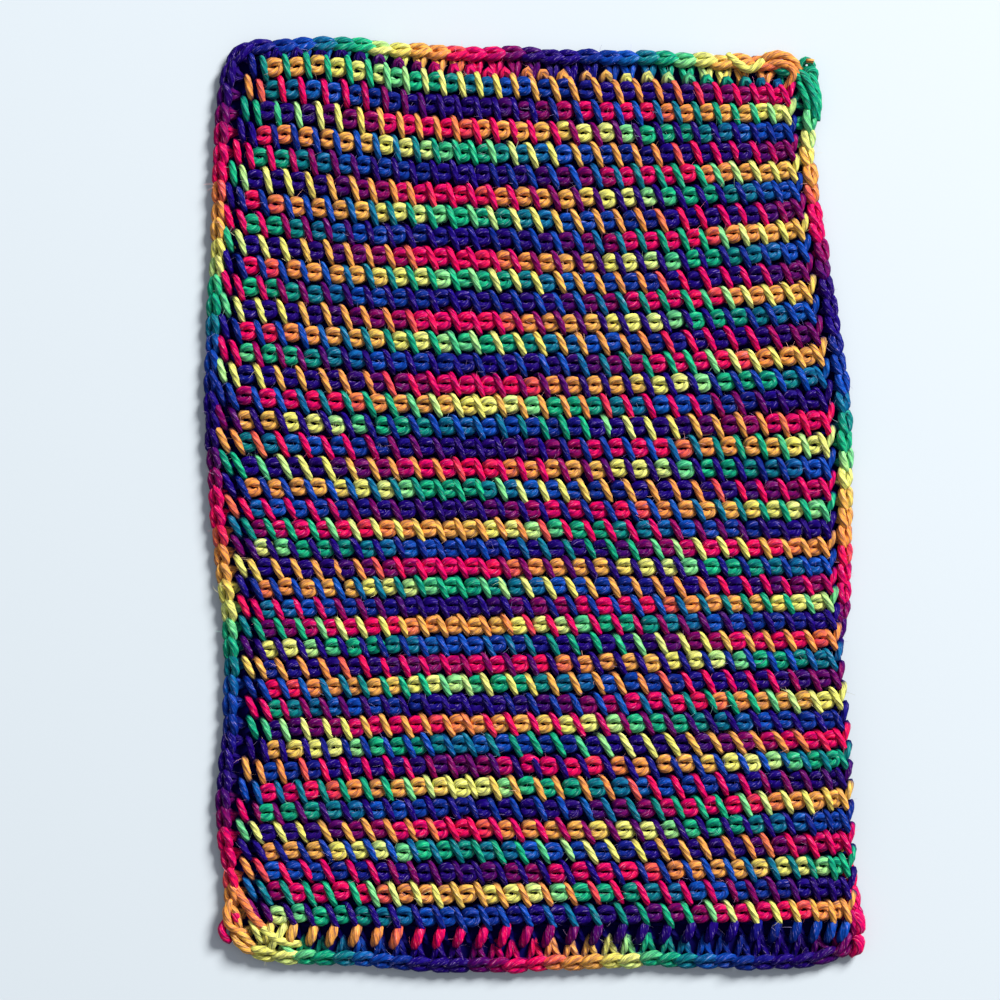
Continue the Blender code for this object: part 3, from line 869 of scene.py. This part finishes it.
# %% Helpers for materials
def linear(hex_colour):
    """Linear colour, with alpha, from an sRGB hex value."""
    channels = [int(hex_colour[k:k + 2], 16) / 255 for k in (1, 3, 5)]
    return tuple(c / 12.92 if c <= 0.04045 else ((c + 0.055) / 1.055) ** 2.4 for c in channels) + (1.0,)


def add_node(tree, kind, inputs=None, **settings):
    """Add a node with its settings. An input is given a value, or another node's output to link to."""
    node = tree.nodes.new(kind)
    for name, value in settings.items():
        setattr(node, name, value)
    for key, value in (inputs or {}).items():
        if isinstance(value, bpy.types.NodeSocket):
            tree.links.new(value, node.inputs[key])
        else:
            node.inputs[key].default_value = value
    return node


# %% [markdown]
# ## The dyed yarn
# The material reads the phase from the strand attribute, keeps its fraction and looks the colour up in a
# ramp. Deep strands get painted shade: their colour goes towards navy. The plies come from the ply attribute:
# their angle, times the number of plies, gives the grooves, which are bumped in and darkened with painted
# shade. Fine streaks along the yarn stand for its fibres, and the palest of them get a painted lavender
# highlight, the glint of single fibres. Otherwise the yarn has almost no shine: its roughness is middling and
# its specular level very low.

# %% Material of the yarn
DYE_STOPS = (
    # share of the repeat, colour
    (0.000, "#FF0050"),
    (0.045, "#FF1448"),
    (0.075, "#FF9838"),
    (0.200, "#FFBE48"),
    (0.225, "#FFF868"),
    (0.280, "#FAFC80"),
    (0.305, "#98F08C"),
    (0.335, "#18C07C"),
    (0.400, "#0AA070"),
    (0.430, "#068480"),
    (0.480, "#066898"),
    (0.510, "#0650B4"),
    (0.620, "#04267C"),
    (0.660, "#1A0074"),
    (0.800, "#24005E"),
    (0.835, "#5C0056"),
    (0.900, "#98004C"),
    (0.930, "#EC0054"),
)
# Navy of the painted shade: the colour goes to it in the ply grooves and on strands that lie deep
PAINTED_SHADE_NAVY = "#07004E"
# Lavender of the painted highlights: glints on single fibres, and the paler colour of the loose fibres
PAINTED_GLINT_LAVENDER = "#E0C4F0"
# Sockets of the Mix node when it mixes colours
COLOUR_A = 6
COLOUR_B = 7
MIXED = 2


def dye_ramp(tree, phase):
    """Colour of the dye at a phase: the seven colours in their order along the skein."""
    share = add_node(tree, "ShaderNodeMath", {0: phase}, operation="FRACT")
    ramp = add_node(tree, "ShaderNodeValToRGB", {"Fac": share.outputs[0]})
    stops = ramp.color_ramp.elements
    while len(stops) < len(DYE_STOPS):
        stops.new(0.5)
    for stop, (place, colour) in zip(stops, DYE_STOPS):
        stop.position = place
        stop.color = linear(colour)
    return ramp.outputs["Color"]


def yarn_material(name, deep, shown):
    """Space-dyed acrylic of several plies: all painted shade below the height deep in mm, and none above
    shown.
    """
    material = bpy.data.materials.new(name)
    material.use_nodes = True
    tree = material.node_tree
    shader = tree.nodes["Principled BSDF"]
    strand = add_node(tree, "ShaderNodeAttribute", attribute_name="strand")
    parts = add_node(tree, "ShaderNodeSeparateXYZ", {0: strand.outputs["Vector"]})
    ply = add_node(tree, "ShaderNodeAttribute", attribute_name="ply")
    round_yarn = add_node(tree, "ShaderNodeSeparateXYZ", {0: ply.outputs["Vector"]})
    colour = dye_ramp(tree, parts.outputs["X"])
    angle = add_node(tree, "ShaderNodeMath", {0: round_yarn.outputs["Y"], 1: round_yarn.outputs["X"]},
                     operation="ARCTAN2")
    turned = add_node(tree, "ShaderNodeMath", {0: angle.outputs[0], 1: PLIES / 2}, operation="MULTIPLY")
    wave = add_node(tree, "ShaderNodeMath", {0: turned.outputs[0]}, operation="COSINE")
    crown = add_node(tree, "ShaderNodeMath", {0: wave.outputs[0]}, operation="ABSOLUTE")
    along = add_node(tree, "ShaderNodeMath", {0: parts.outputs["Y"], 1: 0.12}, operation="MULTIPLY")
    fibre_place = add_node(tree, "ShaderNodeCombineXYZ",
                           {0: round_yarn.outputs["X"], 1: round_yarn.outputs["Y"], 2: along.outputs[0]})
    fibres = add_node(tree, "ShaderNodeTexNoise",
                      {"Vector": fibre_place.outputs[0], "Scale": 5.0, "Detail": 3.0, "Roughness": 0.6})
    # Painted shade in the ply grooves: their colour goes part of the way towards navy
    painted_groove_shade = add_node(tree, "ShaderNodeMapRange",
                      {"Value": crown.outputs[0], "From Min": 0.0, "From Max": 0.9,
                       "To Min": 0.55, "To Max": 1.0})
    streak = add_node(tree, "ShaderNodeMapRange",
                      {"Value": fibres.outputs["Fac"], "From Min": 0.38, "From Max": 0.60,
                       "To Min": 0.35, "To Max": 1.12})
    groove_shade_and_streak = add_node(tree, "ShaderNodeMath", {0: painted_groove_shade.outputs[0], 1: streak.outputs[0]},
                    operation="MULTIPLY")
    # The dye mixed towards navy by the painted groove shade and by the random fibre streaks
    dyed = add_node(tree, "ShaderNodeMix", {"Factor": groove_shade_and_streak.outputs[0], COLOUR_A: linear(PAINTED_SHADE_NAVY),
                                            COLOUR_B: colour}, data_type="RGBA", clamp_factor=False)
    # Painted highlight: the palest fibre streaks go towards lavender
    glint = add_node(tree, "ShaderNodeMapRange",
                     {"Value": fibres.outputs["Fac"], "From Min": 0.60, "From Max": 0.72,
                      "To Min": 0.0, "To Max": 0.4})
    lit = add_node(tree, "ShaderNodeMix", {"Factor": glint.outputs[0], COLOUR_A: dyed.outputs[MIXED],
                                           COLOUR_B: linear(PAINTED_GLINT_LAVENDER)}, data_type="RGBA")
    # Painted shade by depth: the height less the lift, from deep to shown, takes the colour from navy to the
    # dye
    place = add_node(tree, "ShaderNodeTexCoord")
    level = add_node(tree, "ShaderNodeSeparateXYZ", {0: place.outputs["Object"]})
    height = add_node(tree, "ShaderNodeMath", {0: level.outputs["Z"], 1: 1 / MM}, operation="MULTIPLY")
    above = add_node(tree, "ShaderNodeMath", {0: height.outputs[0], 1: parts.outputs["Z"]},
                     operation="SUBTRACT")
    depth = add_node(tree, "ShaderNodeMapRange",
                     {"Value": above.outputs[0], "From Min": deep, "From Max": shown},
                     interpolation_type="SMOOTHSTEP")
    shaded = add_node(tree, "ShaderNodeMix", {"Factor": depth.outputs[0], COLOUR_A: linear(PAINTED_SHADE_NAVY),
                                              COLOUR_B: lit.outputs[MIXED]}, data_type="RGBA")
    tree.links.new(shaded.outputs[MIXED], shader.inputs["Base Color"])
    rise = add_node(tree, "ShaderNodeMath", {0: fibres.outputs["Fac"], 1: 0.35, 2: crown.outputs[0]},
                    operation="MULTIPLY_ADD")
    bump = add_node(tree, "ShaderNodeBump", {"Height": rise.outputs[0], "Distance": 0.35 * MM,
                                             "Strength": 0.8})
    tree.links.new(bump.outputs["Normal"], shader.inputs["Normal"])
    shader.inputs["Roughness"].default_value = 0.6
    shader.inputs["Specular IOR Level"].default_value = 0.06
    return material


panel_material = yarn_material("plied_acrylic_panel", deep=3.0, shown=5.2)
edging_material = yarn_material("plied_acrylic_edging", deep=2.4, shown=4.4)
for piece in panel_pieces:
    piece.data.materials.append(panel_material)
edging_yarn_piece.data.materials.append(edging_material)
corner_piece.data.materials.append(edging_material)


def fibre_material():
    """Loose acrylic fibre: so thin that light shines through it, and that light is painted into its colour,
    which is paler.
    """
    material = bpy.data.materials.new("loose_acrylic_fibre")
    material.use_nodes = True
    tree = material.node_tree
    shader = tree.nodes["Principled BSDF"]
    strand = add_node(tree, "ShaderNodeAttribute", attribute_name="strand")
    parts = add_node(tree, "ShaderNodeSeparateXYZ", {0: strand.outputs["Vector"]})
    # Painted light: the dye is mixed about a third of the way towards the highlight lavender
    pale = add_node(tree, "ShaderNodeMix", {"Factor": 0.35, COLOUR_A: dye_ramp(tree, parts.outputs["X"]),
                                            COLOUR_B: linear(PAINTED_GLINT_LAVENDER)}, data_type="RGBA")
    tree.links.new(pale.outputs[MIXED], shader.inputs["Base Color"])
    shader.inputs["Roughness"].default_value = 0.5
    shader.inputs["Specular IOR Level"].default_value = 0.2
    return material


fibre_piece.data.materials.append(fibre_material())


# Navies of the painted shade on the back of the cloth
BACK_PAINTED_SHADE_NAVY = "#03003A"
BACK_PAINTED_SHADE_VIOLET = "#080058"


def back_shade_material():
    """Back of the stitches: two navies of painted deep shade, mixed by noise."""
    material = bpy.data.materials.new("crochet_back_painted_shade")
    material.use_nodes = True
    tree = material.node_tree
    shader = tree.nodes["Principled BSDF"]
    strand = add_node(tree, "ShaderNodeAttribute", attribute_name="strand")
    fuzz = add_node(tree, "ShaderNodeTexNoise", {"Vector": strand.outputs["Vector"], "Scale": 3.0})
    painted_shade_tint = add_node(tree, "ShaderNodeMix", {"Factor": fuzz.outputs["Fac"], COLOUR_A: linear(BACK_PAINTED_SHADE_NAVY),
                                            COLOUR_B: linear(BACK_PAINTED_SHADE_VIOLET)}, data_type="RGBA")
    tree.links.new(painted_shade_tint.outputs[MIXED], shader.inputs["Base Color"])
    shader.inputs["Roughness"].default_value = 0.9
    shader.inputs["Specular IOR Level"].default_value = 0.1
    return material


ground.data.materials.append(back_shade_material())
print("materials:", [m.name for m in bpy.data.materials if m.users])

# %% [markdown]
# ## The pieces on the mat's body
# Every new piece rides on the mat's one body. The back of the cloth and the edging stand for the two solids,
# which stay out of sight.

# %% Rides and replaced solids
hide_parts("stitch_field")
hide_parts("crochet_edging")
for piece in panel_pieces + [ground, edging_yarn_piece, corner_piece, fibre_piece]:
    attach(piece, BODY)
bpy.data.objects.remove(yarn_section, do_unlink=True)

# %% [markdown]
# ## Floor and light
# The mat lies on a plain pale floor. One broad, soft light from the upper right gives the faint shadows to
# the left and below, and an even sky fills the rest. Colours are shown as they are, without a film curve.

# %% Floor, light and sky
FLOOR_COLOUR = "#CDD5D9"
SKY_COLOUR = "#EEF3FF"
SKY_STRENGTH = 0.36
LAMP_PLACE = (2.40, 2.70, 2.40)
LAMP_SIZE = 1.6
LAMP_POWER = 350.0
bpy.ops.mesh.primitive_plane_add(size=4.0, location=(0.0, 0.0, 0.0))
floor = bpy.context.object
floor.name = "floor"
floor_material = bpy.data.materials.new("pale_floor")
floor_material.use_nodes = True
floor_shader = floor_material.node_tree.nodes["Principled BSDF"]
floor_shader.inputs["Base Color"].default_value = linear(FLOOR_COLOUR)
floor_shader.inputs["Roughness"].default_value = 0.75
floor.data.materials.append(floor_material)

bpy.ops.object.light_add(type="AREA", location=LAMP_PLACE)
lamp = bpy.context.object
lamp.name = "soft_window"
lamp.data.shape = "DISK"
lamp.data.size = LAMP_SIZE
lamp.data.energy = LAMP_POWER
lamp.rotation_euler = (math.radians(-38.5), math.radians(45.0), 0.0)
world = bpy.data.worlds.new("even_sky")
world.use_nodes = True
background = world.node_tree.nodes["Background"]
background.inputs["Color"].default_value = linear(SKY_COLOUR)
background.inputs["Strength"].default_value = SKY_STRENGTH
bpy.context.scene.world = world
bpy.context.scene.view_settings.view_transform = "Standard"
print("lamp", lamp.data.energy, "W")
